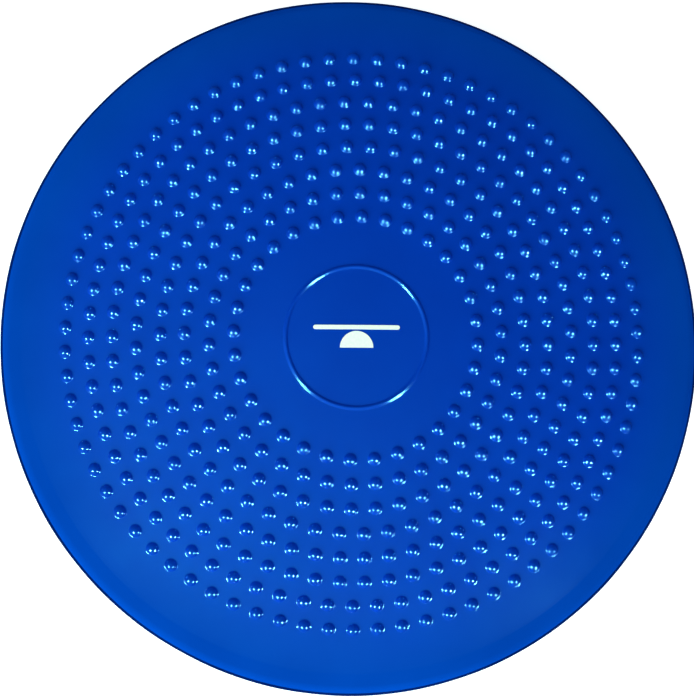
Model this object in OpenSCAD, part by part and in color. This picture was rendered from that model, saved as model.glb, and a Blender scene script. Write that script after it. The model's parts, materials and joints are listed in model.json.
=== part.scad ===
// Inflatable balance disc: two moulded domes welded at the rim, a field of
// massage nubs on top, grip ribs and a needle valve underneath.
// The frame's origin is the centre of the flat patch that the disc rests on,
// with +Z up through the crown. Lengths are in millimetres.

/* [Disc] */
// Overall diameter across the rim seam
disc_d = 330; // [328:1:350]
// Height of each dome above the rim plane
dome_h = 36; // [32:1:40]
// Radius of the rounded rim edge
rim_r = 6; // [5.5:0.5:8]
// Thickness of the moulded skin
skin_t = 3.5; // [3.2:0.1:4]
// Diameter of the flat patch that the disc rests on
foot_d = 104; // [80:2:110]

/* [Nubs] */
// Diameter of a nub where it leaves the dome
nub_d = 5.8; // [4:0.2:6.4]
// Height of a nub above the dome
nub_h = 2.6; // [1.6:0.1:2.8]
// Number of nub rings
nub_rings = 8; // [4:1:8]
// Radius of the innermost nub ring
first_ring_r = 56.5; // [50:0.5:58]
// Distance between rings, along the dome
ring_pitch = 11.4; // [10.5:0.1:11.5]
// Nubs in the innermost ring
first_ring_n = 32; // [24:1:34]
// Nubs that each ring has more than the one inside it
ring_step_n = 6; // [4:1:6]

/* [Crown] */
// Diameter of the raised circle at the crown, along its ridge
bead_d = 65.4; // [50:0.2:80]
// Width of the raised circle
bead_w = 1.8; // [1:0.2:3]
// Length of the printed balance mark
mark_l = 40; // [30:1:46]
// Thickness of the printed ink
ink_t = 0.25; // [0.2:0.05:0.4]

/* [Underside] */
// Number of grip ribs
rib_count = 4; // [2:1:4]
// Distance between grip ribs
rib_pitch = 8; // [6:0.5:8]
// Height of a grip rib above the dome
rib_h = 0.9; // [0.6:0.1:1]

/* [Rim] */
// How far the welded seam stands out of the rim
seam_out = 1.2; // [0.4:0.1:1.6]
// Thickness of the welded seam
seam_t = 1.6; // [1.2:0.2:2.4]

/* [Valve] */
// Distance of the valve from the middle of the disc
valve_r = 100; // [90:1:104]
// Radius of the hole for the valve in the skin
valve_hole_r = 8; // [7.5:0.1:9]
// Radius of the boss's bore for the rubber core
core_r = 4.5; // [4:0.1:5]
// Radius of the needle hole in the rubber core
needle_r = 0.9; // [0.8:0.05:1.1]

/* [Hidden] */
$fn = 96;

skin_blue = [0.00, 0.20, 0.66];
seam_blue = [0.00, 0.17, 0.56];
rubber_blue = [0.02, 0.12, 0.40];
ink_white = [0.96, 0.97, 0.98];
plug_grey = [0.75, 0.77, 0.80];

// The dome is an arc that runs tangent into the rim's edge circle
edge_r = disc_d / 2 - seam_out;                  // skin's own outer radius
edge_c = edge_r - rim_r;                         // middle of the edge circle
arc_drop = (edge_c * edge_c - (dome_h - rim_r) * (dome_h - rim_r))
    / (2 * (dome_h - rim_r));                    // dome centre below the rim plane
dome_r = arc_drop + dome_h;
foot_drop = dome_r - sqrt(dome_r * dome_r - foot_d * foot_d / 4);
rim_z = dome_h - foot_drop;                      // rim plane above the floor

// Each dome's skin is a rim band, a shoulder that bends and a panel, from the edge in
panel_gap = 0.3;
rim_band_w = 13;
upper_shoulder_w = 11;
lower_shoulder_w = 31;
rim_band_r = edge_r - rim_band_w;
top_panel_r = rim_band_r - upper_shoulder_w;
bottom_panel_r = rim_band_r - lower_shoulder_w;
far = 1000;                                      // longer than any radius here

nub_sphere_r = (nub_d * nub_d / 4 + nub_h * nub_h) / (2 * nub_h);
field_turn = 1.8;                                // the whole nub field about the crown
ring_offset = 0.6;                               // a ring's first nub, in nub pitches
turned_ring_offset = 0.12;                       // the same in every third ring
bead_r = bead_w / 2;
rib_r = 1.6;
rib_clear = 11;                                  // from the foot's edge to the first rib
first_rib_r = foot_d / 2 + rib_clear;

mark_dome_d = mark_l / 2.6;
mark_base_y = -mark_l / 8;                       // flat underside of the printed dome
plank_t = mark_l / 20;
plank_y = mark_l / 9;

boss_flange_r = 15;
boss_flange_t = 2.5;
boss_r = 8.5;
boss_h = 9;                                      // below the skin's inner face
boss_sink = 1;                                   // from the flange's top to the boss's own
neck_h = 1.5;                                    // of the neck, below the skin's inner face
core_head_r = 6.4;
core_head_t = 1.2;
core_snap_r = 5.8;
core_snap_t = 2.4;
lip_l = 8;
lip_w = 3.2;
lip_t = 4;
plug_pin_l = 5.5;
plug_pin_play = 0.06;
plug_head_r = 3.6;
plug_head_t = 1.1;
plug_tab_l = 6;

function dome_z(r) = dome_h - dome_r + sqrt(dome_r * dome_r - r * r);
function ring_angle(i) =
    asin(first_ring_r / dome_r) + i * ring_pitch / dome_r * 180 / PI;
function ring_n(i) = first_ring_n + i * ring_step_n;
// Every third ring is turned by about half a pitch against the others
function ring_start(i) =
    field_turn + (i % 3 == 1 ? turned_ring_offset : ring_offset) * 360 / ring_n(i);

// Right half of one dome's section, moved inward by inset, above the rim plane
module dome_section(inset, top) {
    intersection() {
        square([far, top]);
        union() {
            intersection() {
                translate([0, -arc_drop]) circle(r = dome_r - inset, $fn = 360);
                polygon([
                    [0, -arc_drop],
                    [edge_c * 2, arc_drop],
                    [0, arc_drop]
                ]);
            }
            translate([edge_c, 0]) circle(r = rim_r - inset);
        }
    }
}

// Section of the skin between two radii, with the crown cut flat at top
module skin_section(inner, outer, top = far) {
    intersection() {
        difference() {
            dome_section(0, top);
            dome_section(skin_t, top - skin_t);
        }
        translate([inner, 0]) square([outer - inner, far]);
    }
}

// The upper skin, with the rim plane at its height above the floor
module upper_skin(inner, outer) {
    translate([0, 0, rim_z]) rotate_extrude($fn = 180) skin_section(inner, outer);
}

// The lower skin hangs from the rim plane and is flat where it rests
module lower_skin(inner, outer) {
    translate([0, 0, rim_z]) mirror([0, 0, 1]) rotate_extrude($fn = 180)
        skin_section(inner, outer, rim_z);
}

// A place on the upper dome: turned by around, and leaned out by lean
module on_dome(around, lean) {
    translate([0, 0, rim_z - arc_drop]) rotate([0, lean, around])
        translate([0, 0, dome_r]) children();
}

// The valve's place on the lower dome, with +Z pointing out of the disc
module at_valve() {
    translate([0, 0, rim_z + arc_drop]) rotate([0, 180 - asin(valve_r / dome_r), 0])
        translate([0, 0, dome_r]) children();
}

module nubs() {
    for (i = [0 : nub_rings - 1], k = [0 : ring_n(i) - 1])
        on_dome(ring_start(i) + k * 360 / ring_n(i), ring_angle(i))
            translate([0, 0, nub_h - nub_sphere_r]) sphere(r = nub_sphere_r, $fn = 24);
}

module crown_bead() {
    translate([0, 0, rim_z]) rotate_extrude($fn = 180)
        translate([bead_d / 2, dome_z(bead_d / 2)]) circle(r = bead_r, $fn = 32);
}

module top_panel() {
    color(skin_blue) {
        upper_skin(0, top_panel_r);
        crown_bead();
        nubs();
    }
}

module upper_shoulder() {
    color(skin_blue) upper_skin(top_panel_r + panel_gap, rim_band_r - panel_gap);
}

module upper_rim() {
    color(skin_blue) upper_skin(rim_band_r, edge_r);
}

module rim_seam() {
    color(seam_blue) translate([0, 0, rim_z]) rotate_extrude($fn = 180)
        difference() {
            translate([edge_c, 0]) intersection() {
                circle(r = rim_r + seam_out);
                translate([0, -seam_t / 2]) square([far, seam_t]);
            }
            translate([edge_c, 0]) circle(r = rim_r);
        }
}

module lower_rim() {
    color(skin_blue) lower_skin(rim_band_r, edge_r);
}

module lower_shoulder() {
    color(skin_blue) lower_skin(bottom_panel_r + panel_gap, rim_band_r - panel_gap);
}

module grip_ribs() {
    translate([0, 0, rim_z]) mirror([0, 0, 1]) rotate_extrude($fn = 180)
        for (i = [0 : rib_count - 1])
            let (r = first_rib_r + i * rib_pitch)
                translate([r, dome_z(r) + rib_h - rib_r]) circle(r = rib_r, $fn = 32);
}

module bottom_panel() {
    color(skin_blue) difference() {
        union() {
            lower_skin(0, bottom_panel_r);
            grip_ribs();
        }
        at_valve() translate([0, 0, -2 * skin_t]) cylinder(r = valve_hole_r, h = 4 * skin_t);
    }
}

// A dome and a plank: the outline that is printed at the crown
module balance_mark() {
    intersection() {
        translate([0, mark_base_y]) circle(d = mark_dome_d, $fn = 64);
        translate([-mark_l, mark_base_y]) square([2 * mark_l, mark_l]);
    }
    translate([0, plank_y]) square([mark_l - plank_t, plank_t], center = true);
    for (side = [-1, 1])
        translate([side * (mark_l - plank_t) / 2, plank_y]) circle(d = plank_t);
}

module printed_mark() {
    color(ink_white) intersection() {
        translate([0, 0, rim_z + dome_h / 2]) linear_extrude(dome_h) balance_mark();
        translate([0, 0, rim_z - arc_drop]) difference() {
            sphere(r = dome_r + ink_t, $fn = 360);
            sphere(r = dome_r, $fn = 360);
        }
    }
}

module valve_boss() {
    color(skin_blue) at_valve() difference() {
        union() {
            intersection() {
                translate([0, 0, -skin_t - boss_flange_t])
                    cylinder(r = boss_flange_r, h = boss_flange_t);
                translate([0, 0, -dome_r]) sphere(r = dome_r - skin_t, $fn = 360);
            }
            translate([0, 0, -skin_t - boss_h]) cylinder(r = boss_r, h = boss_h - boss_sink);
            translate([0, 0, -skin_t - neck_h]) cylinder(r = valve_hole_r, h = skin_t + neck_h);
        }
        translate([0, 0, -core_head_t]) cylinder(r = core_head_r, h = 2 * core_head_t);
        translate([0, 0, -skin_t - 2 * boss_h]) cylinder(r = core_r, h = 3 * boss_h);
    }
}

module valve_core() {
    inner_end = -skin_t - boss_h;
    color(rubber_blue) at_valve() difference() {
        union() {
            translate([0, 0, -core_head_t]) cylinder(r = core_head_r, h = core_head_t);
            translate([0, 0, inner_end]) cylinder(r = core_r, h = -inner_end - core_head_t);
            translate([0, 0, inner_end - core_snap_t])
                cylinder(r1 = core_r, r2 = core_snap_r, h = core_snap_t);
            translate([-lip_l / 2, -lip_w / 2, inner_end - core_snap_t - lip_t])
                cube([lip_l, lip_w, lip_t]);
        }
        translate([0, 0, inner_end]) cylinder(r = needle_r, h = far, $fn = 32);
    }
}

module valve_plug() {
    color(plug_grey) at_valve() {
        cylinder(r = plug_head_r, h = plug_head_t);
        translate([0, 0, -plug_pin_l])
            cylinder(r = needle_r - plug_pin_play, h = plug_pin_l + plug_head_t / 2, $fn = 32);
        translate([0, -plug_head_r / 2, 0])
            cube([plug_tab_l, plug_head_r, plug_head_t]);
    }
}

top_panel();
upper_shoulder();
upper_rim();
rim_seam();
lower_rim();
lower_shoulder();
bottom_panel();
printed_mark();
valve_boss();
valve_core();
valve_plug();
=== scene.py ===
import json
import math

import bpy
import numpy as np
from mathutils import Matrix, Vector
from mathutils.geometry import delaunay_2d_cdt


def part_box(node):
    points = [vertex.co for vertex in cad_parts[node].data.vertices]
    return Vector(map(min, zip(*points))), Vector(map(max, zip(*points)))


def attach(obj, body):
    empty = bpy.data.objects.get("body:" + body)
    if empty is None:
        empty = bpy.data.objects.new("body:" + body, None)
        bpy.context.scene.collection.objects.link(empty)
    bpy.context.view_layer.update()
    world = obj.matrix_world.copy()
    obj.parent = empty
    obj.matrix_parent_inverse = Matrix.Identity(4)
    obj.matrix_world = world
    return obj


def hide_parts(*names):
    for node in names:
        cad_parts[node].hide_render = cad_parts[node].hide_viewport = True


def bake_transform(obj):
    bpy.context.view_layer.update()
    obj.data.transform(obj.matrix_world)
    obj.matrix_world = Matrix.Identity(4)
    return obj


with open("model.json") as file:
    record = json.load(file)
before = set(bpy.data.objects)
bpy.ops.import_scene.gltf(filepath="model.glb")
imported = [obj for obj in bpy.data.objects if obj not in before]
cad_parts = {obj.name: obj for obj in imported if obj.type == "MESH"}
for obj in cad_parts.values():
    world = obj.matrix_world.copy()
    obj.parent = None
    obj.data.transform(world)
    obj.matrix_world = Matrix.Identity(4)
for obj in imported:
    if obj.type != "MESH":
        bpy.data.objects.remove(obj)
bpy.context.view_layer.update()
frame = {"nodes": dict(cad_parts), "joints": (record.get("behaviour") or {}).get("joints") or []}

MM = 0.001


# ---------------------------------------------------------------- sizes, from the CAD frame

seam_low, seam_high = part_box("rim_seam")
RIM_Z = (seam_low.z + seam_high.z) / 2
SEAM_R = seam_high.x
SEAM_T = seam_high.z - seam_low.z
EDGE_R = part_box("upper_rim")[1].x
CROWN_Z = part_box("top_panel")[1].z
FLOOR_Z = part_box("bottom_panel")[0].z

# Each dome is an arc that runs tangent into the rim's edge circle
RIM_R = 6 * MM
SKIN_T = 3.5 * MM
DOME_H = CROWN_Z - RIM_Z
EDGE_C = EDGE_R - RIM_R
ARC_DROP = (EDGE_C**2 - (DOME_H - RIM_R) ** 2) / (2 * (DOME_H - RIM_R))
DOME_R = ARC_DROP + DOME_H
TANGENT = math.atan2(EDGE_C, ARC_DROP)
DOME_ARC = DOME_R * TANGENT
RIM_ARC = DOME_ARC + RIM_R * (math.pi / 2 - TANGENT)
RIM_SEGMENTS = 240

NUB_D = 5.8 * MM
NUB_H = 2.6 * MM
NUB_FILLET = 0.6 * MM

# The rings of nubs: each has more nubs than the one inside it, and every third one is turned
NUB_RINGS = 8
FIRST_RING_R = 56.5 * MM
RING_PITCH = 11.4 * MM
FIRST_RING_N = 32
RING_STEP_N = 6
FIELD_TURN = math.radians(1.8)
RING_OFFSET = 0.6
TURNED_RING_OFFSET = 0.12

# The mesh of the field. The margin outside the last ring is in nub radii
NUB_SEGMENTS = 20
NUB_CLEARANCE = 1.1 * MM
FIELD_SPACING = 3.4 * MM
FIELD_MARGIN = 1.6
CROWN_SPACING = 4.5 * MM

BEAD_RIDGE_R = 32.7 * MM
BEAD_R = 0.9 * MM
BEAD_H = 0.9 * BEAD_R
BEAD_FILLET = 0.7 * MM
BEAD_SEGMENTS = 144

FOOT_EDGE = 2.5 * MM
RIB_R = 1.6 * MM
RIB_H = 0.9 * MM
RIB_FILLET = 0.8 * MM
FIRST_RIB_R = 63 * MM
RIB_PITCH = 8 * MM
RIB_COUNT = 4

VALVE_HOLE_R = 8 * MM
VALVE_HOLE_CHAMFER = 0.35 * MM
HOLE_SEGMENTS = 48
HOLE_CLEARANCE = 1.5 * MM
BAND_SPACING = 4 * MM

SEAM_CORNER_R = 0.5 * MM
SEAM_OVERLAP = 0.4 * MM
TRIM_WAVE = 0.05 * MM
TRIM_ROOM = 2.4 * TRIM_WAVE

MARK_L = 40 * MM
INK_T = 0.22 * MM
PRINT_SPACING = 1.2 * MM


# ---------------------------------------------------------------- mesh building

class Surface:
    """Collects a piece's points, their normals and its faces. Soft faces shade with those normals."""

    def __init__(self):
        self.points = []
        self.normals = []
        self.faces = []
        self.soft = []

    def add(self, points, normals):
        first = sum(len(p) for p in self.points)
        self.points.append(np.asarray(points, float).reshape(-1, 3))
        self.normals.append(np.asarray(normals, float).reshape(-1, 3))
        return np.arange(first, first + len(self.points[-1]))

    def face(self, corners, soft=True):
        self.faces.append([int(c) for c in corners])
        self.soft.append(soft)

    def strip(self, inner, outer, soft=True):
        """Quads between two closed rings of equal length. They face up when outer is the larger one."""
        after_inner = np.roll(inner, -1)
        after_outer = np.roll(outer, -1)
        for a, b, c, d in zip(inner, outer, after_outer, after_inner):
            self.face((a, b, c, d), soft)

    def fan(self, middle, ring):
        for a, b in zip(ring, np.roll(ring, -1)):
            self.face((middle, a, b))

    def fill(self, indices, layout, drop, face_in=False):
        """Delaunay triangles over the points' flat layout, without those that drop says."""
        flat = [Vector(p) for p in np.asarray(layout) / MM]
        _, _, triangles, origins, _, _ = delaunay_2d_cdt(flat, [], [], 0, 1e-6)
        for triangle in triangles:
            corners = [origins[c][0] for c in triangle]
            if not drop(corners):
                self.face(indices[corners[::-1] if face_in else corners])

    def build(self, name, place, flipped=False):
        """The Blender object. place moves points into the CAD frame, and with True it only turns normals."""
        points = place(np.concatenate(self.points))
        normals = place(np.concatenate(self.normals), True)
        faces = [f[::-1] if flipped else f for f in self.faces]
        mesh = bpy.data.meshes.new(name)
        mesh.from_pydata(points.tolist(), [], faces)
        mesh.polygons.foreach_set("use_smooth", np.ones(len(faces), bool))
        mesh.update()
        corners = np.zeros(len(mesh.loops), int)
        mesh.loops.foreach_get("vertex_index", corners)
        shading = normals[corners]
        for polygon, soft in zip(mesh.polygons, self.soft):
            if not soft:
                span = slice(polygon.loop_start, polygon.loop_start + polygon.loop_total)
                shading[span] = polygon.normal
        mesh.normals_split_custom_set(shading.tolist())
        mesh.validate(clean_customdata=False)
        made = bpy.data.objects.new(name, mesh)
        bpy.context.scene.collection.objects.link(made)
        return made


def around(count, turn=0.0):
    return turn + np.arange(count) * 2 * math.pi / count


def slope_at(arc):
    """The dome section's slope at an arc length from the crown: first the dome, then the edge circle."""
    arc = np.asarray(arc, float)
    return np.where(arc <= DOME_ARC, arc / DOME_R, TANGENT + (arc - DOME_ARC) / RIM_R)


def section(arc, height=0.0):
    """(radius, height above the rim plane) of a point that stands height proud of the dome section."""
    slope = slope_at(arc)
    on_dome = np.asarray(arc) <= DOME_ARC
    r = np.where(on_dome, (DOME_R + height) * np.sin(slope), EDGE_C + (RIM_R + height) * np.sin(slope))
    z = np.where(on_dome, (DOME_R + height) * np.cos(slope) - ARC_DROP, (RIM_R + height) * np.cos(slope))
    return r, z


def spun(r, z, angles):
    """Points at radius r and height z, turned to each angle."""
    return np.stack([r * np.cos(angles), r * np.sin(angles), z + 0 * angles], -1)


def ring_points(arc, angles, height=0.0, lean=0.0):
    """A ring on the dome with its normals. lean turns the normals outward from the dome's own."""
    r, z = section(arc, height)
    slope = slope_at(arc) + lean
    return spun(r, z, angles), spun(np.sin(slope), np.cos(slope), angles)


def flat_layout(points):
    """The dome rolled out flat: arc length from the crown, at the same azimuth."""
    radius = np.hypot(points[:, 0], points[:, 1])
    arc = DOME_R * np.arcsin(radius / DOME_R)
    return points[:, :2] * (arc / np.maximum(radius, 1e-9))[:, None]


def spot_on_dome(arc, azimuth, turns):
    """A place on the dome: its point, its normal, and a direction along the face for each of turns."""
    slope = arc / DOME_R
    out = np.array([math.cos(azimuth), math.sin(azimuth), 0])
    across = np.array([-math.sin(azimuth), math.cos(azimuth), 0])
    up = np.array([0, 0, 1])
    normal = out * math.sin(slope) + up * math.cos(slope)
    along = out * math.cos(slope) - up * math.sin(slope)
    sideways = along * np.cos(turns)[:, None] + across * np.sin(turns)[:, None]
    return normal * DOME_R - up * ARC_DROP, normal, sideways


def dome_sag(distance):
    """How far the dome falls away from its tangent plane at a distance from the spot."""
    return DOME_R - math.sqrt(DOME_R**2 - distance**2)


def ridge_profile(ridge_r, height, fillet, steps):
    """(distance from the ridge's middle, height, slope) across half a ridge, from its top to its foot.

    The ridge is an arc of radius ridge_r that stands height proud, and fillet rounds it into the face."""
    sink = ridge_r - height
    reach = ridge_r + fillet
    foot = math.sqrt(reach**2 - (sink + fillet) ** 2)
    steepest = math.atan2(foot, sink + fillet)
    rows = []
    for share in np.linspace(0, 1, steps + 1):
        slope = share * steepest
        rows.append((ridge_r * math.sin(slope), ridge_r * math.cos(slope) - sink, slope))
    for share in (0.5, 0.0):
        slope = share * steepest
        rows.append((foot - fillet * math.sin(slope), fillet * (1 - math.cos(slope)), slope))
    return rows


def both_sides(half):
    """The whole section of a ridge, from its inner foot to its outer one."""
    return [(-distance, height, -lean) for distance, height, lean in half[:0:-1]] + half


def onto_rim(vectors, turn_only=False):
    """Lifts points from the rim plane's own frame into the CAD frame. Directions stay as they are."""
    return vectors if turn_only else vectors + (0, 0, RIM_Z)


# ---------------------------------------------------------------- upper skin

def ring_arc(ring):
    """The arc length from the crown to a ring of nubs."""
    return DOME_R * math.asin(FIRST_RING_R / DOME_R) + ring * RING_PITCH


def nub_places():
    """(arc from the crown, azimuth) of every nub. Offsets are shares of the space between two nubs."""
    places = []
    for ring in range(NUB_RINGS):
        count = FIRST_RING_N + ring * RING_STEP_N
        offset = TURNED_RING_OFFSET if ring % 3 == 1 else RING_OFFSET
        for azimuth in around(count, FIELD_TURN + offset * 2 * math.pi / count):
            places.append((ring_arc(ring), azimuth))
    return places


def add_nub(surface, arc, azimuth, profile):
    """One nub with its fillet. Returns the ring of points where it meets the dome."""
    centre, normal, sideways = spot_on_dome(arc, azimuth, around(NUB_SEGMENTS))
    top = surface.add(centre + normal * NUB_H, normal)[0]
    ring = None
    for distance, height, lean in profile[1:]:
        sag = dome_sag(distance)
        points = centre + sideways * distance + normal * (height - sag)
        tilt = lean + distance / DOME_R * (lean == 0)
        next_ring = surface.add(points, sideways * math.sin(tilt) + normal * math.cos(tilt))
        if ring is None:
            surface.fan(top, next_ring)
        else:
            surface.strip(ring, next_ring)
        ring = next_ring
    return ring


def background_points(first_arc, last_arc, spacing, keep_off, keep_off_distance):
    """Points spread over the dome between two arcs, clear of the places in keep_off."""
    rows = max(1, round((last_arc - first_arc) / spacing))
    kept = []
    for row in range(1, rows):
        arc = first_arc + (last_arc - first_arc) * row / rows
        count = max(6, round(2 * math.pi * arc / spacing))
        angles = around(count, (row % 2) * math.pi / count)
        kept.append(ring_points(arc, angles)[0])
    points = np.concatenate(kept)
    if len(keep_off):
        flat = flat_layout(points)
        nearest = np.full(len(points), np.inf)
        for place in keep_off:
            nearest = np.minimum(nearest, np.hypot(*(flat - place).T))
        points = points[nearest > keep_off_distance]
    return points


def dome_normals(points):
    """Normals of points that lie on the dome's sphere, given from the rim plane up."""
    from_centre = points + np.array([0, 0, ARC_DROP])
    return from_centre / np.linalg.norm(from_centre, axis=1)[:, None]


def add_rings(surface, arcs, angles, start_ring):
    """Plain rings outward from start_ring. Returns the last one."""
    ring = start_ring
    for arc in arcs:
        next_ring = surface.add(*ring_points(arc, angles))
        surface.strip(ring, next_ring)
        ring = next_ring
    return ring


def rim_arcs(first_arc):
    """Arcs for rings from first_arc over the shoulder and round the edge to the rim plane."""
    shoulder = np.linspace(first_arc, DOME_ARC, 9)[1:]
    edge = np.linspace(DOME_ARC, RIM_ARC, 7)[1:]
    return np.concatenate([shoulder, edge])


def add_inside_rings(surface, arcs, start_ring):
    """Rings of the inner face, inward from start_ring. Returns the last one."""
    ring = start_ring
    for arc in arcs:
        points, normals = ring_points(arc, around(RIM_SEGMENTS), -SKIN_T)
        inward = surface.add(points, -normals)
        surface.strip(ring, inward)
        ring = inward
    return ring


def close_rim(surface, outer_ring):
    """The flat edge on the rim plane, in to the inner face. Returns the inner face's first ring."""
    points, normals = ring_points(RIM_ARC, around(RIM_SEGMENTS), -SKIN_T)
    ring = surface.add(points, -normals)
    surface.strip(outer_ring, ring, soft=False)
    return ring


def inside_arcs(stop):
    """Arcs for the inner face's rings from the rim's edge circle in to the arc stop."""
    return np.linspace(DOME_ARC, stop, 9)


def add_bead(surface):
    """The raised circle at the crown. Returns its inner and outer rings, and their arcs."""
    bead_arc = DOME_R * math.asin(BEAD_RIDGE_R / DOME_R)
    across = both_sides(ridge_profile(BEAD_R, BEAD_H, BEAD_FILLET, steps=4))
    angles = around(BEAD_SEGMENTS)
    rings = []
    for distance, height, lean in across:
        rings.append(surface.add(*ring_points(bead_arc + distance, angles, height, lean)))
    for inner, outer in zip(rings, rings[1:]):
        surface.strip(inner, outer)
    return (rings[0], rings[-1]), (bead_arc + across[0][0], bead_arc + across[-1][0])


def upper_skin():
    """The whole upper moulding: crown, bead, nub field, shoulder, and its inner face."""
    surface = Surface()
    nub_sphere_r = (NUB_D**2 / 4 + NUB_H**2) / (2 * NUB_H)
    profile = ridge_profile(nub_sphere_r, NUB_H, NUB_FILLET, steps=5)
    nub_reach = profile[-1][0]
    places = nub_places()
    nub_feet = [add_nub(surface, arc, azimuth, profile) for arc, azimuth in places]
    owner = {}
    for number, foot in enumerate(nub_feet):
        for index in foot:
            owner[int(index)] = number
    bead_rings, (bead_in, bead_out) = add_bead(surface)

    # The field between the nubs, and the crown inside the bead
    nub_flat = np.array([(arc * math.cos(azimuth), arc * math.sin(azimuth)) for arc, azimuth in places])
    field_out = ring_arc(NUB_RINGS - 1) + FIELD_MARGIN * nub_reach
    field_ring = surface.add(*ring_points(field_out, around(RIM_SEGMENTS)))
    crown = background_points(0.0, bead_in, CROWN_SPACING, (), 0)
    clear = nub_reach + NUB_CLEARANCE
    field = background_points(bead_out, field_out, FIELD_SPACING, nub_flat, clear)
    middle = np.array([[0, 0, DOME_H]])
    loose = np.concatenate([middle, crown, field])
    loose_ring = surface.add(loose, dome_normals(loose))
    indices = np.concatenate([*nub_feet, *bead_rings, field_ring, loose_ring])
    flat = flat_layout(np.concatenate(surface.points)[indices])
    arcs = np.hypot(flat[:, 0], flat[:, 1])

    def under_nub_or_bead(corners):
        owners = {owner.get(int(indices[c]), -1) for c in corners}
        if len(owners) == 1 and -1 not in owners:
            return True
        in_bead = [bead_in - 1e-6 < arcs[c] < bead_out + 1e-6 for c in corners]
        middle_arc = np.hypot(*flat[corners].mean(0))
        return all(in_bead) and middle_arc > bead_in

    surface.fill(indices, flat, under_nub_or_bead)

    last = add_rings(surface, rim_arcs(field_out), around(RIM_SEGMENTS), field_ring)
    inner = add_inside_rings(surface, inside_arcs(0.0)[:-1], close_rim(surface, last))
    inner_middle = surface.add((0, 0, DOME_H - SKIN_T), (0, 0, -1))[0]
    surface.fan(inner_middle, inner[::-1])
    return surface.build("upper_skin", onto_rim)


# ---------------------------------------------------------------- lower skin

def foot_rows(foot_r, foot_h, foot_slope):
    """(radius, height, slope) of the rings over the flat foot and its soft edge."""
    rows = [(foot_r * share, foot_h, 0.0) for share in (0.12, 0.3, 0.5, 0.7, 0.85, 0.94)]
    for share in (0.2, 0.5, 0.8):
        at = foot_r + FOOT_EDGE * (2 * share - 1)
        rows.append((at, foot_h - FOOT_EDGE * foot_slope * share**2, foot_slope * share))
    return rows


def rib_rows():
    """(radius, height, slope) of the rings over the grip ribs, and the arc where the last rib ends."""
    across = both_sides(ridge_profile(RIB_R, RIB_H, RIB_FILLET, steps=3))
    rows = []
    for rib in range(RIB_COUNT):
        rib_arc = DOME_R * math.asin((FIRST_RIB_R + rib * RIB_PITCH) / DOME_R)
        for distance, height, lean in across:
            r, z = section(rib_arc + distance, height)
            rows.append((float(r), float(z), float(slope_at(rib_arc + distance)) + lean))
    return rows, rib_arc + across[-1][0]


def fill_round_hole(surface, spread, ring_in, ring_out, wall, depth):
    """The face between two rings, round the hole's wall. At a depth below the dome it faces inward."""
    normals = dome_normals(spread)
    loose = surface.add(spread - normals * depth, -normals if depth else normals)
    indices = np.concatenate([ring_in, ring_out, wall, loose])
    flat = flat_layout(np.concatenate(surface.points)[indices] * (DOME_R / (DOME_R - depth)))
    before_wall = len(ring_in) + len(ring_out)
    wall_set = set(range(before_wall, before_wall + len(wall)))
    inner_set = set(range(len(ring_in)))

    def in_hole(corners):
        return set(corners) <= wall_set or set(corners) <= inner_set

    surface.fill(indices, flat, in_hole, face_in=depth > 0)


def lower_skin(valve_azimuth, valve_arc):
    """The lower dome, built crown up like the upper one and then mirrored down through the rim plane."""
    surface = Surface()
    angles = around(RIM_SEGMENTS)
    foot_h = RIM_Z - FLOOR_Z
    foot_slope = math.acos((foot_h + ARC_DROP) / DOME_R)
    foot_arc = DOME_R * foot_slope
    foot_r = DOME_R * math.sin(foot_slope)

    # The foot and the ribs
    ribs, rib_end = rib_rows()
    middle = surface.add((0, 0, foot_h), (0, 0, 1))[0]
    ring = None
    for r, z, slope in foot_rows(foot_r, foot_h, foot_slope) + ribs:
        next_ring = surface.add(spun(r, z, angles), spun(math.sin(slope), math.cos(slope), angles))
        if ring is None:
            surface.fan(middle, next_ring)
        else:
            surface.strip(ring, next_ring)
        ring = next_ring

    # The shoulder, the rim and their inner faces, as far in as the band round the valve's hole
    band_end = valve_arc + VALVE_HOLE_R + BAND_SPACING
    outer_ring = surface.add(*ring_points(band_end, angles))
    last = add_rings(surface, rim_arcs(band_end), angles, outer_ring)
    inner_band = add_inside_rings(surface, inside_arcs(band_end), close_rim(surface, last))
    points, normals = ring_points(rib_end, angles, -SKIN_T)
    inner_start = surface.add(points, -normals)

    # The hole's wall with its chamfer, then the band round it, outside and inside
    walls = []
    for depth, radius, face_in in (
        (0.0, VALVE_HOLE_R + VALVE_HOLE_CHAMFER, False),
        (VALVE_HOLE_CHAMFER, VALVE_HOLE_R, False),
        (SKIN_T, VALVE_HOLE_R, True),
    ):
        wall = hole_ring(valve_azimuth, valve_arc, radius, depth, face_in)
        walls.append(surface.add(*wall))
    surface.strip(walls[1], walls[0])
    surface.strip(walls[2], walls[1], soft=False)
    place = np.array([valve_arc * math.cos(valve_azimuth), valve_arc * math.sin(valve_azimuth)])
    clear = VALVE_HOLE_R + HOLE_CLEARANCE
    spread = background_points(rib_end, band_end, BAND_SPACING, [place], clear)
    fill_round_hole(surface, spread, ring, outer_ring, walls[0], 0.0)
    fill_round_hole(surface, spread, inner_start, inner_band, walls[2], SKIN_T)

    # The inner face behind the ribs and the foot
    inner = add_inside_rings(surface, np.linspace(rib_end, foot_arc, 4)[1:], inner_start)
    inside_foot = surface.add(spun(foot_r * 0.9, foot_h - SKIN_T, angles), spun(0, -1, angles))
    surface.strip(inner, inside_foot)
    inner_middle = surface.add((0, 0, foot_h - SKIN_T), (0, 0, -1))[0]
    surface.fan(inner_middle, inside_foot[::-1])

    def mirrored(vectors, turn_only=False):
        return onto_rim(vectors * (1, 1, -1), turn_only)

    return surface.build("lower_skin", mirrored, flipped=True)


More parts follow.
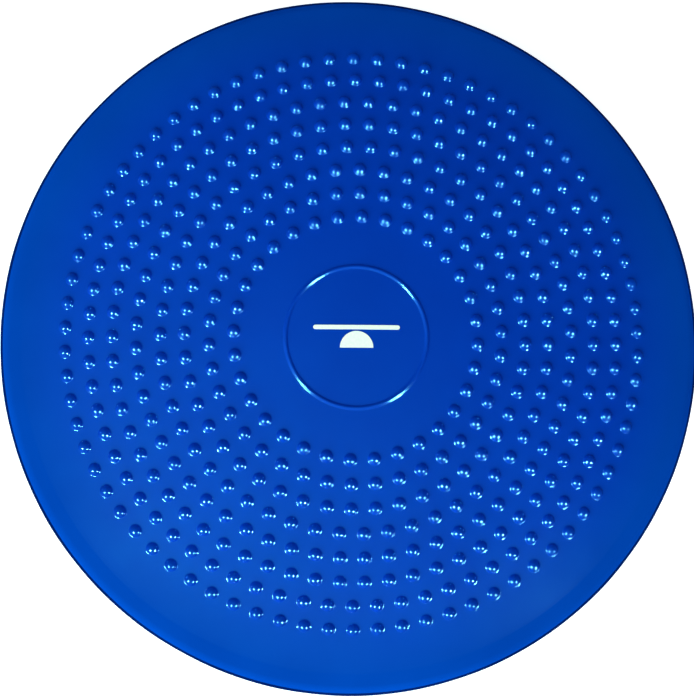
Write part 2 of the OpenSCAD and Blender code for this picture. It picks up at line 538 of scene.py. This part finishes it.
def hole_ring(azimuth, arc, radius, depth, face_in):
    """A ring of points round a hole in the dome, depth below its face, with normals."""
    centre, normal, sideways = spot_on_dome(arc, azimuth, around(HOLE_SEGMENTS))
    points = centre + sideways * radius - normal * (dome_sag(radius) + depth)
    facing = -normal if face_in else normal
    return points, np.broadcast_to(facing, points.shape)


# ---------------------------------------------------------------- seam and print

def rim_seam():
    """The welded edge: a trimmed strip with soft corners, slightly uneven where it was cut."""
    surface = Surface()
    count = 2 * RIM_SEGMENTS
    angles = around(count)
    broad_waves = np.sin(7 * angles + 0.4) + 0.8 * np.sin(17 * angles + 2.0)
    trim = TRIM_WAVE * (broad_waves + 0.5 * np.sin(31 * angles))
    half_t = SEAM_T / 2
    corner_r = SEAM_R - SEAM_CORNER_R - TRIM_ROOM

    # (radius, height, the way it faces in degrees) of the lower half, then the upper half as its mirror
    outline = [(EDGE_R - SEAM_OVERLAP, -half_t, -90.0)]
    for degrees in (-90.0, -60.0, -30.0, 0.0):
        angle = math.radians(degrees)
        r = corner_r + SEAM_CORNER_R * math.cos(angle)
        z = SEAM_CORNER_R - half_t + SEAM_CORNER_R * math.sin(angle)
        outline.append((r, z, degrees))
    outline += [(r, -z, -degrees) for r, z, degrees in outline[::-1]]
    rings = []
    for r, z, degrees in outline:
        angle = math.radians(degrees)
        wave = trim if r > EDGE_R else 0 * trim
        points = spun(r + wave, z, angles)
        rings.append(surface.add(points, spun(math.cos(angle), math.sin(angle), angles)))
    for lower, upper in zip(rings, rings[1:]):
        surface.strip(upper, lower)
    surface.strip(rings[0], rings[-1], soft=False)
    return surface.build("weld_seam", onto_rim)


def print_outlines():
    """The generic balance mark: a dome with a plank above it, as two rounded outlines."""
    dome_r = MARK_L / 2.6 / 2
    base_y = -MARK_L / 8
    plank_y = MARK_L / 9
    plank_r = MARK_L / 40
    turns = np.linspace(0, math.pi, 33)
    dome = np.stack([dome_r * np.cos(turns), base_y + dome_r * np.sin(turns)], -1)
    ends = np.linspace(-math.pi / 2, math.pi / 2, 9)
    end_x = MARK_L / 2 - plank_r
    right = np.stack([end_x + plank_r * np.cos(ends), plank_y + plank_r * np.sin(ends)], -1)
    plank = np.concatenate([right, right[::-1] * (-1, 1)])
    return {"mark_dome": dome, "mark_plank": plank}


def filled_in(outline, spacing):
    """The outline's points at an even spacing, then points inside it. The outline is convex."""
    after = np.roll(outline, -1, axis=0)
    edge = []
    for a, b in zip(outline, after):
        steps = max(1, math.ceil(np.hypot(*(b - a)) / spacing))
        edge += [a + (b - a) * step / steps for step in range(steps)]
    edge = np.array(edge)
    low, high = edge.min(0), edge.max(0)
    inside = []
    for x in np.arange(low[0] + spacing, high[0], spacing):
        for y in np.arange(low[1] + spacing, high[1], spacing):
            gaps = np.cross(np.roll(edge, -1, axis=0) - edge, np.array([x, y]) - edge)
            lengths = np.hypot(*(np.roll(edge, -1, axis=0) - edge).T)
            if (gaps / np.maximum(lengths, 1e-12)).min() > spacing * 0.4:
                inside.append((x, y))
    return edge, np.array(inside).reshape(-1, 2)


def print_mark(name, outline):
    """One shape of the print: a thin raised film of ink that follows the crown."""
    surface = Surface()
    edge, inside = filled_in(outline, PRINT_SPACING)
    flat = np.concatenate([edge, inside])
    reach = np.sqrt(DOME_R**2 - (flat**2).sum(1))
    points = np.column_stack([flat, reach - ARC_DROP])
    normals = dome_normals(points)
    top = surface.add(points + normals * INK_T, normals)
    bottom = surface.add(points, -normals)
    surface.fill(top, flat, lambda corners: False)
    surface.fill(bottom, flat, lambda corners: False, face_in=True)
    surface.strip(top[: len(edge)], bottom[: len(edge)], soft=False)
    return surface.build(name, onto_rim)


# ---------------------------------------------------------------- materials

# Linear colours. Each material runs from its dark to its light one.
BLACK = (0, 0, 0)
SKIN_DARK = (0.0002, 0.038, 0.49)
SKIN_LIGHT = (0.0003, 0.043, 0.54)
# The rim's colours are painted shade and painted sheen: a darker, slightly greener blue than the skin's.
RIM_PAINTED_SHADE_DARK = (0.0002, 0.040, 0.36)
RIM_PAINTED_SHADE_LIGHT = (0.0003, 0.046, 0.40)
SEAM_DARK = (0.0005, 0.010, 0.11)
SEAM_LIGHT = (0.001, 0.016, 0.15)
INK_DARK = (0.84, 0.86, 0.9)
INK_LIGHT = (0.95, 0.96, 0.97)
RUBBER_DARK = (0.003, 0.012, 0.07)
RUBBER_LIGHT = (0.006, 0.022, 0.12)
PLUG_DARK = (0.46, 0.48, 0.52)
PLUG_LIGHT = (0.56, 0.58, 0.61)

# The skin's gloss, which fades out towards the matte rim, and its colour, which fades there to the rim's
# painted shade and sheen
PVC_GLOSS_TINT = (0.005, 0.6, 1.0)
PVC_IOR = 1.8
SKIN_ROUGHNESS = 0.125
SKIN_COAT = 0.5
MATTE_RIM_R = EDGE_C - 2 * MM
GLOSS_FADE = 30 * MM

# The scale of the skin's uneven spots, in noise cells per metre
SWIRLS = 22
DULL_PATCHES = 45
SAGS = 14
PEEL_GRAINS = 700


def new_material(name, colour):
    material = bpy.data.materials.new(name)
    material.use_nodes = True
    material.diffuse_color = (*colour, 1)
    nodes = material.node_tree.nodes
    return material, nodes, material.node_tree.links, nodes["Principled BSDF"]


def add_noise(nodes, links, coordinates, scale, detail=2.0, roughness=0.5):
    noise = nodes.new("ShaderNodeTexNoise")
    noise.inputs["Scale"].default_value = scale
    noise.inputs["Detail"].default_value = detail
    noise.inputs["Roughness"].default_value = roughness
    links.new(coordinates, noise.inputs["Vector"])
    return noise.outputs["Fac"]


def add_range(nodes, links, value, low, high, from_low=0.3, from_high=0.7):
    spread = nodes.new("ShaderNodeMapRange")
    spread.inputs["From Min"].default_value = from_low
    spread.inputs["From Max"].default_value = from_high
    spread.inputs["To Min"].default_value = low
    spread.inputs["To Max"].default_value = high
    links.new(value, spread.inputs["Value"])
    return spread.outputs["Result"]


def add_mix(nodes, links, factor, first, second):
    """A mix of two colours. Each is an RGB value or another node's output."""
    mix = nodes.new("ShaderNodeMix")
    mix.data_type = "RGBA"
    links.new(factor, mix.inputs["Factor"])
    for name, colour in (("A", first), ("B", second)):
        if isinstance(colour, tuple):
            mix.inputs[name].default_value = (*colour, 1)
        else:
            links.new(colour, mix.inputs[name])
    return mix.outputs["Result"]


def add_bump(nodes, links, height, distance, strength, below=None):
    bump = nodes.new("ShaderNodeBump")
    bump.inputs["Distance"].default_value = distance
    bump.inputs["Strength"].default_value = strength
    links.new(height, bump.inputs["Height"])
    if below:
        links.new(below, bump.inputs["Normal"])
    return bump.outputs["Normal"]


def gloss_and_painted_shade_fade(nodes, links, place):
    """0 over the domes and 1 where the matte rim starts, by the distance from the disc's axis. It fades the
    gloss out and the rim's painted shade and sheen in.
    """
    level = nodes.new("ShaderNodeVectorMath")
    level.operation = "MULTIPLY"
    level.inputs[1].default_value = (1, 1, 0)
    links.new(place, level.inputs[0])
    reach = nodes.new("ShaderNodeVectorMath")
    reach.operation = "LENGTH"
    links.new(level.outputs["Vector"], reach.inputs[0])
    fade_start = MATTE_RIM_R - GLOSS_FADE
    return add_range(nodes, links, reach.outputs["Value"], 0, 1, fade_start, MATTE_RIM_R)


def pvc(name, dark, light, roughness, coat=0):
    """Soft moulded PVC with faint swirls, dull patches and orange peel. With no coat it is matte; with a
    coat its colour fades to the rim's painted shade and sheen towards the edge.
    """
    material, nodes, links, shader = new_material(name, light)
    place = nodes.new("ShaderNodeTexCoord").outputs["Object"]
    swirl = add_noise(nodes, links, place, SWIRLS, detail=3)
    streak = add_range(nodes, links, swirl, 0, 1)
    colour = add_mix(nodes, links, streak, dark, light)
    dull = add_noise(nodes, links, place, DULL_PATCHES, detail=4, roughness=0.6)
    patchy = add_range(nodes, links, dull, roughness - 0.01, roughness + 0.02)
    links.new(patchy, shader.inputs["Roughness"])
    if coat:
        fade = gloss_and_painted_shade_fade(nodes, links, place)
        # Painted shade and sheen: towards the rim the colour fades to a darker, greener blue.
        painted_rim_shade = add_mix(nodes, links, streak, RIM_PAINTED_SHADE_DARK, RIM_PAINTED_SHADE_LIGHT)
        colour = add_mix(nodes, links, fade, colour, painted_rim_shade)
        coat_left = add_range(nodes, links, fade, coat, 0, from_low=0, from_high=1)
        links.new(coat_left, shader.inputs["Coat Weight"])
        tint = add_mix(nodes, links, fade, PVC_GLOSS_TINT, BLACK)
        links.new(tint, shader.inputs["Specular Tint"])
        shader.inputs["Coat Roughness"].default_value = SKIN_ROUGHNESS
        shader.inputs["IOR"].default_value = PVC_IOR
        shader.inputs["Specular IOR Level"].default_value = 1
    else:
        shader.inputs["Specular IOR Level"].default_value = 0
    links.new(colour, shader.inputs["Base Color"])
    sag = add_noise(nodes, links, place, SAGS, detail=1)
    broad = add_bump(nodes, links, sag, distance=0.6 * MM, strength=0.25)
    peel = add_noise(nodes, links, place, PEEL_GRAINS, detail=2)
    fine = add_bump(nodes, links, peel, distance=0.02 * MM, strength=0.12, below=broad)
    links.new(fine, shader.inputs["Normal"])
    return material


def speckled(name, dark, light, roughness, grain, relief):
    """A moulded or printed surface with a fine even grain."""
    material, nodes, links, shader = new_material(name, light)
    place = nodes.new("ShaderNodeTexCoord").outputs["Object"]
    speck = add_noise(nodes, links, place, grain, detail=3)
    colour = add_mix(nodes, links, add_range(nodes, links, speck, 0, 1), dark, light)
    links.new(colour, shader.inputs["Base Color"])
    patch = add_noise(nodes, links, place, grain / 6, detail=2)
    patchy = add_range(nodes, links, patch, roughness - 0.06, roughness + 0.06)
    links.new(patchy, shader.inputs["Roughness"])
    links.new(add_bump(nodes, links, speck, relief, strength=0.5), shader.inputs["Normal"])
    return material


skin_material = pvc("pvc_skin", SKIN_DARK, SKIN_LIGHT, SKIN_ROUGHNESS, SKIN_COAT)
# The rim's material is coloured with painted shade and sheen.
shaded_rim_material = pvc("pvc_rim_painted_shade", RIM_PAINTED_SHADE_DARK, RIM_PAINTED_SHADE_LIGHT, roughness=0.5)
seam_material = pvc("pvc_seam", SEAM_DARK, SEAM_LIGHT, roughness=0.4)
ink_material = speckled("screen_ink", INK_DARK, INK_LIGHT, 0.45, grain=900, relief=0.01 * MM)
rubber_material = speckled("valve_rubber", RUBBER_DARK, RUBBER_LIGHT, 0.6, grain=500, relief=0.04 * MM)
plug_material = speckled("plug_plastic", PLUG_DARK, PLUG_LIGHT, 0.4, grain=650, relief=0.03 * MM)


def paint(piece, material):
    piece.data.materials.clear()
    piece.data.materials.append(material)


def paint_skin(piece):
    """Glossy PVC with a matte band round the rim, whose colour is painted shade and sheen."""
    paint(piece, skin_material)
    piece.data.materials.append(shaded_rim_material)
    for face in piece.data.polygons:
        if face.center.to_2d().length > MATTE_RIM_R:
            face.material_index = 1


# ---------------------------------------------------------------- the pieces

plug_joint = next(joint for joint in frame["joints"] if joint["name"] == "plug_pull")
valve_axis = Vector(plug_joint["axis"])
valve_slope = math.acos(-valve_axis.z / valve_axis.length)
valve_azimuth = math.atan2(valve_axis.y, valve_axis.x)

upper = upper_skin()
paint_skin(upper)
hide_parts("top_panel", "upper_shoulder", "upper_rim")
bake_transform(upper)

lower = lower_skin(valve_azimuth, valve_slope * DOME_R)
paint_skin(lower)
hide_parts("bottom_panel", "lower_shoulder", "lower_rim")
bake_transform(lower)

seam = rim_seam()
paint(seam, seam_material)
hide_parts("rim_seam")
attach(seam, "rim")

for mark_name, outline in print_outlines().items():
    mark = print_mark(mark_name, outline)
    paint(mark, ink_material)
    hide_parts("printed_mark")
    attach(mark, "top")

paint(frame["nodes"]["valve_boss"], skin_material)
paint(frame["nodes"]["valve_core"], rubber_material)
paint(frame["nodes"]["valve_plug"], plug_material)


# ---------------------------------------------------------------- floor, light and camera

FLOOR_SIZE = 12
FLOOR_GAP = 0.2 * MM
FLOOR_WHITE = (0.92, 0.92, 0.92)
FLOOR_GLOW = 0.7
STUDIO_FAR = (0.75, 0.7, 0.82)
STUDIO_NEAR = (0.75, 1.1, 0.8)
BACKDROP = (1, 1, 1)


def floor():
    """A white floor that glows a little, so that it stays white round the disc's shadow."""
    bpy.ops.mesh.primitive_plane_add(size=FLOOR_SIZE, location=(0, 0, FLOOR_Z - FLOOR_GAP))
    plane = bpy.context.object
    plane.name = "studio_floor"
    material, nodes, links, shader = new_material("floor_white", FLOOR_WHITE)
    shader.inputs["Base Color"].default_value = (*FLOOR_WHITE, 1)
    shader.inputs["Roughness"].default_value = 0.9
    shader.inputs["Emission Color"].default_value = (1, 1, 1, 1)
    shader.inputs["Emission Strength"].default_value = FLOOR_GLOW
    paint(plane, material)
    plane.visible_glossy = False


def spark(name, azimuth, elevation, distance, width, height, power):
    """An oval lamp that faces the disc and only gives it its small highlights. Azimuth runs from +X."""
    data = bpy.data.lights.new(name, "AREA")
    data.shape = "ELLIPSE"
    data.size = width
    data.size_y = height
    data.energy = power
    light = bpy.data.objects.new(name, data)
    a = math.radians(azimuth)
    e = math.radians(elevation)
    away = Vector((math.cos(a) * math.cos(e), math.sin(a) * math.cos(e), math.sin(e)))
    light.location = away * distance + Vector((0, 0, RIM_Z))
    light.rotation_mode = "QUATERNION"
    light.rotation_quaternion = away.to_track_quat("Z", "Y")
    light.visible_diffuse = False
    bpy.context.scene.collection.objects.link(light)


def studio(azimuth, zenith, strength, even, mirrored):
    """Soft light that is strongest from one direction and fades smoothly to dark behind the disc.

    Reflections see it at the share mirrored, and the camera sees a plain white backdrop instead."""
    world = bpy.data.worlds.new("studio")
    bpy.context.scene.world = world
    world.use_nodes = True
    nodes = world.node_tree.nodes
    links = world.node_tree.links
    nodes.clear()
    a = math.radians(azimuth)
    z = math.radians(zenith)
    toward = nodes.new("ShaderNodeVectorMath")
    toward.operation = "DOT_PRODUCT"
    toward.inputs[1].default_value = (math.sin(z) * math.cos(a), math.sin(z) * math.sin(a), math.cos(z))
    links.new(nodes.new("ShaderNodeTexCoord").outputs["Generated"], toward.inputs[0])
    fade = nodes.new("ShaderNodeMath")
    fade.operation = "POWER"
    fade.inputs[1].default_value = 2.0
    front = nodes.new("ShaderNodeMath")
    front.operation = "MAXIMUM"
    front.inputs[1].default_value = 0.0
    links.new(toward.outputs["Value"], front.inputs[0])
    links.new(front.outputs["Value"], fade.inputs[0])
    level = nodes.new("ShaderNodeMath")
    level.operation = "MULTIPLY_ADD"
    level.inputs[1].default_value = strength
    level.inputs[2].default_value = even
    links.new(fade.outputs["Value"], level.inputs[0])
    path = nodes.new("ShaderNodeLightPath")
    share = add_range(nodes, links, path.outputs["Is Glossy Ray"], 1, mirrored, 0, 1)
    shared = nodes.new("ShaderNodeMath")
    shared.operation = "MULTIPLY"
    links.new(level.outputs["Value"], shared.inputs[0])
    links.new(share, shared.inputs[1])
    lit = nodes.new("ShaderNodeBackground")
    tint = add_mix(nodes, links, front.outputs["Value"], STUDIO_FAR, STUDIO_NEAR)
    links.new(tint, lit.inputs["Color"])
    links.new(shared.outputs["Value"], lit.inputs["Strength"])
    seen = nodes.new("ShaderNodeBackground")
    seen.inputs["Color"].default_value = (*BACKDROP, 1)
    mix = nodes.new("ShaderNodeMixShader")
    links.new(path.outputs["Is Camera Ray"], mix.inputs["Fac"])
    links.new(lit.outputs["Background"], mix.inputs[1])
    links.new(seen.outputs["Background"], mix.inputs[2])
    links.new(mix.outputs["Shader"], nodes.new("ShaderNodeOutputWorld").inputs["Surface"])


floor()
studio(azimuth=237, zenith=60, strength=3.8, even=0.2, mirrored=0.04)
spark("spark_left", azimuth=221, elevation=31, distance=1.6, width=0.4, height=0.16, power=48)
spark("spark_right", azimuth=312, elevation=29, distance=1.6, width=0.4, height=0.16, power=45)


def camera(tilt, azimuth, distance, width):
    """A camera that looks down at the rim's middle. The picture spans width of the rim plane."""
    data = bpy.data.cameras.new("camera")
    eye = bpy.data.objects.new("camera", data)
    t = math.radians(tilt)
    a = math.radians(azimuth)
    back = Vector((math.sin(t) * math.cos(a), math.sin(t) * math.sin(a), math.cos(t)))
    up = Vector((0, 1, 0))
    up = (up - back * up.dot(back)).normalized()
    right = up.cross(back)
    turn = Matrix((right, up, back)).transposed().to_4x4()
    eye.matrix_world = Matrix.Translation(back * distance + Vector((0, 0, RIM_Z))) @ turn
    data.sensor_width = 36
    data.lens = data.sensor_width * distance / width
    data.clip_start = 0.05
    data.clip_end = 30
    bpy.context.scene.collection.objects.link(eye)
    bpy.context.scene.camera = eye
    return eye


eye = camera(tilt=7.0, azimuth=235.6, distance=1.3, width=2 * SEAM_R + 0.5 * MM)
eye.data.shift_x = -0.006
eye.data.shift_y = -0.007

scene = bpy.context.scene
scene.view_settings.view_transform = "Standard"
